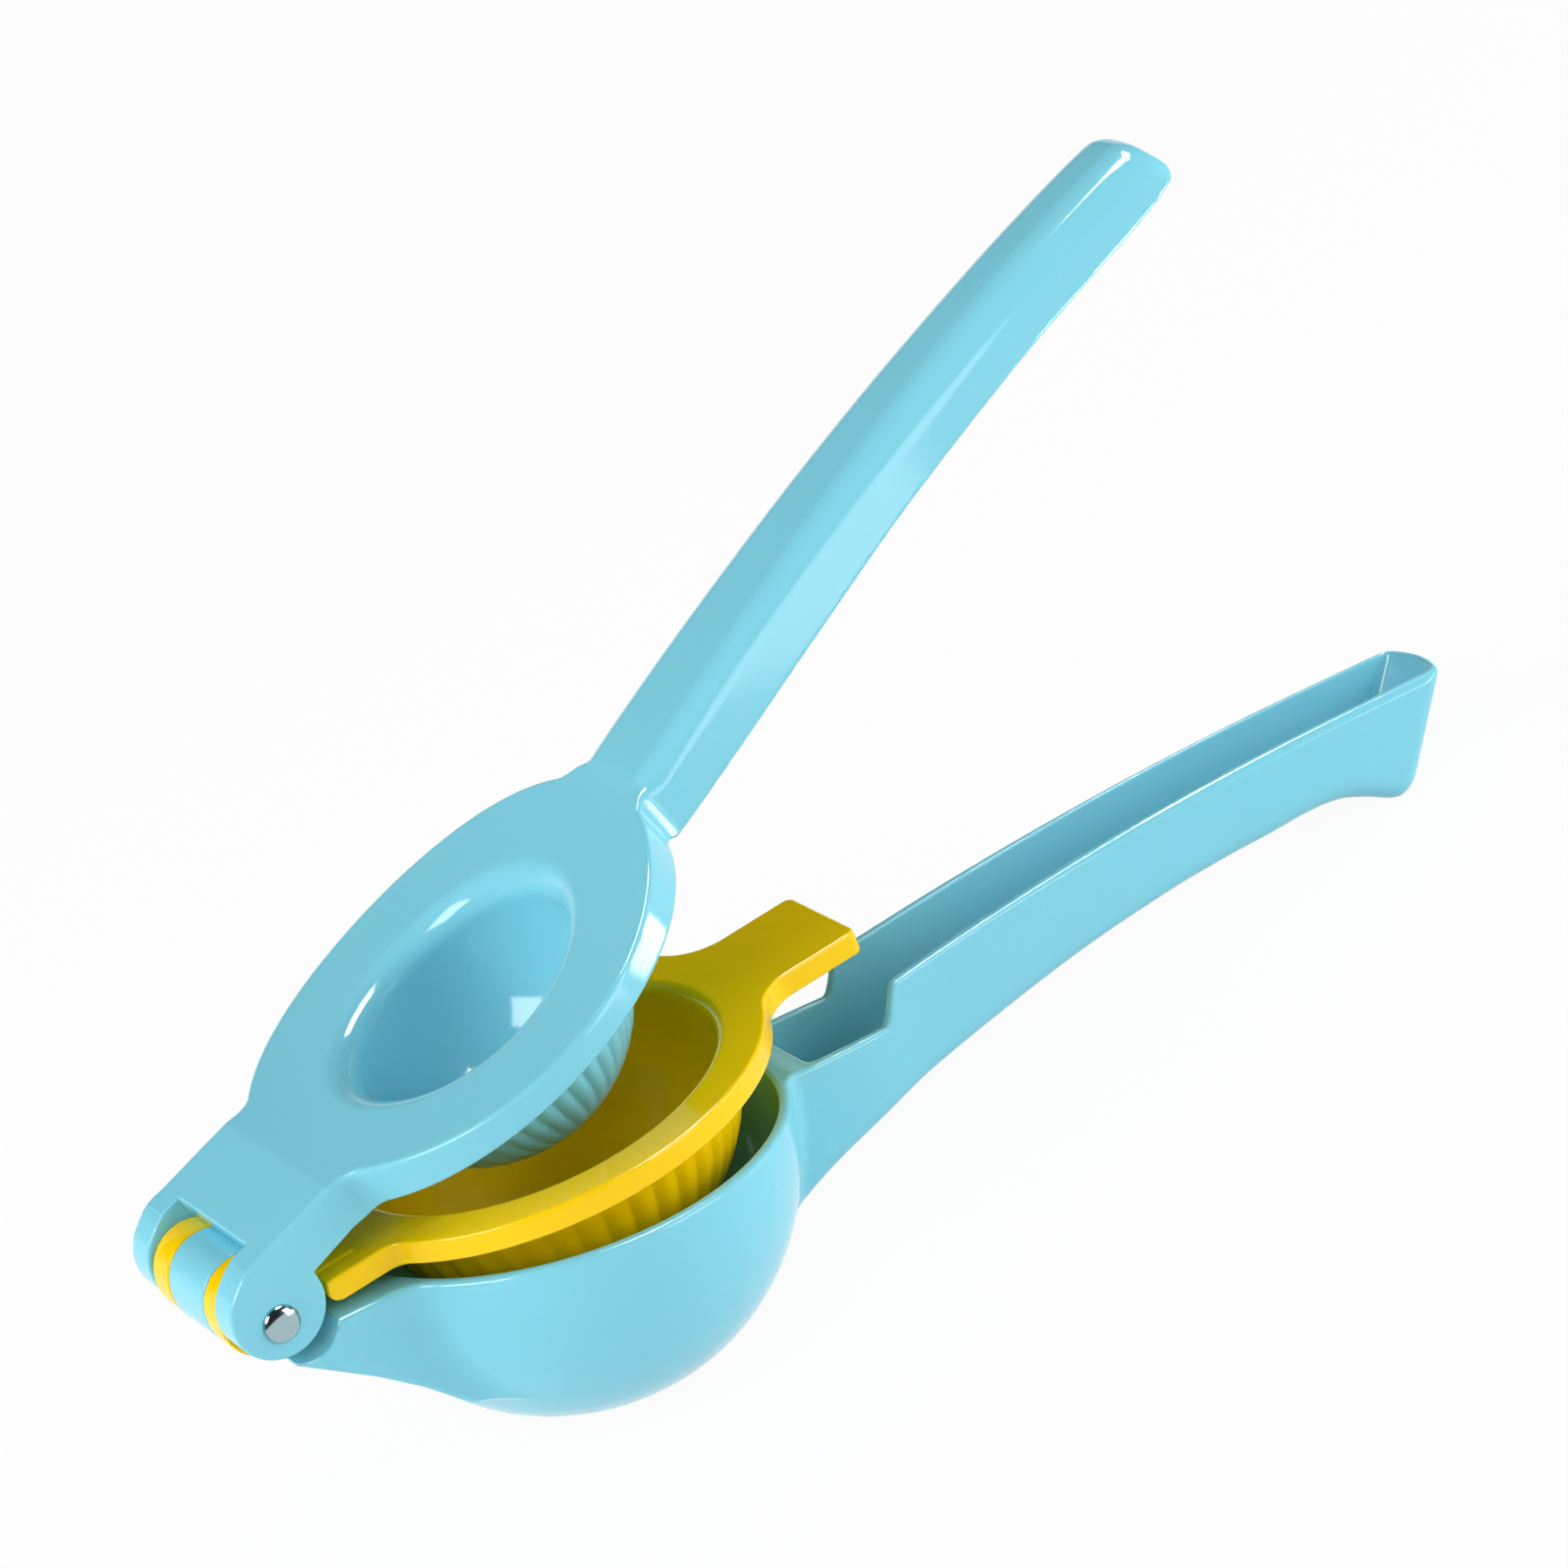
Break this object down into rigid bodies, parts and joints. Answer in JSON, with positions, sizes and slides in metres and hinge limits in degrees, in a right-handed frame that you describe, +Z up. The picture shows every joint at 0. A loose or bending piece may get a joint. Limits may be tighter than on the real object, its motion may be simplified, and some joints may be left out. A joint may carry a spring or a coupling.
{
  "type": "hinged lemon squeezer",
  "caption": "Hand lever citrus squeezer: deep bowl, lift-out lime cup and fluted press dome on one hinge pin, with two long channel handles.",
  "frame": {"origin": "centre of the flat pad under the bowl, on the surface that the squeezer rests on", "axes": "+X from the hinge towards the handles, +Y along the hinge pin, +Z up"},
  "size_m": [0.2275, 0.0762, 0.1204],
  "materials": {
    "blue_enamel": "gloss",
    "yellow_enamel": "gloss",
    "pin_steel": "polished"
  },
  "bodies": {
    "lower": {"lower_body": "blue_enamel"},
    "cup": {"lime_cup": "yellow_enamel"},
    "press_arm": {"press": "blue_enamel", "hinge_pin": "pin_steel", "pin_cap": "pin_steel"}
  },
  "joints": [
    {"name": "cup_hinge", "type": "hinge", "parent": "lower", "child": "cup", "pos_m": [-0.05262, 0, 0.05237], "axis": [0, -1, 0], "range_deg": [-6.5, 40]},
    {"name": "press_hinge", "type": "hinge", "parent": "cup", "child": "press_arm", "pos_m": [-0.05262, 0, 0.05237], "axis": [0, -1, 0], "range_deg": [-17.5, 44.5]}
  ]
}
